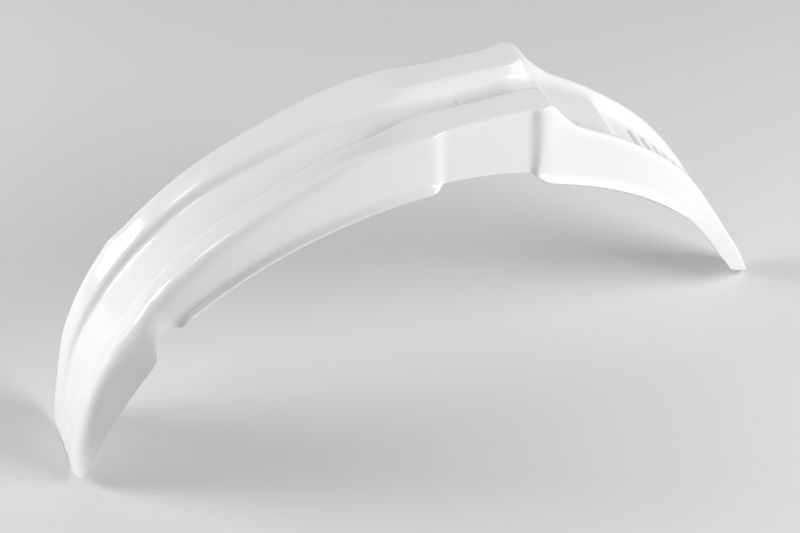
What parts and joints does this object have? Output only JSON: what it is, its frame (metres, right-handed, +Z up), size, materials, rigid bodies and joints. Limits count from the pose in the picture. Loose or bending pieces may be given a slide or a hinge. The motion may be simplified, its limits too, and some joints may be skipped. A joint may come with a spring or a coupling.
{
  "type": "motorcycle front mudguard",
  "caption": "Long arched motocross front mudguard in glossy white moulded plastic with raised clamp rails, fork notches, flared nose and drained tail.",
  "frame": {"origin": "centre of the bounding box's base, on the floor that the nose edge and the tail tip stand on", "axes": "+X towards the tail, +Y to the motorcycle's right, +Z up; rest pose is the free-standing pose of the picture"},
  "size_m": [0.7248, 0.1528, 0.3278],
  "materials": {
    "white_plastic": "glossy moulded polypropylene"
  },
  "bodies": {
    "root": {"mudguard": "white_plastic"}
  },
  "joints": []
}
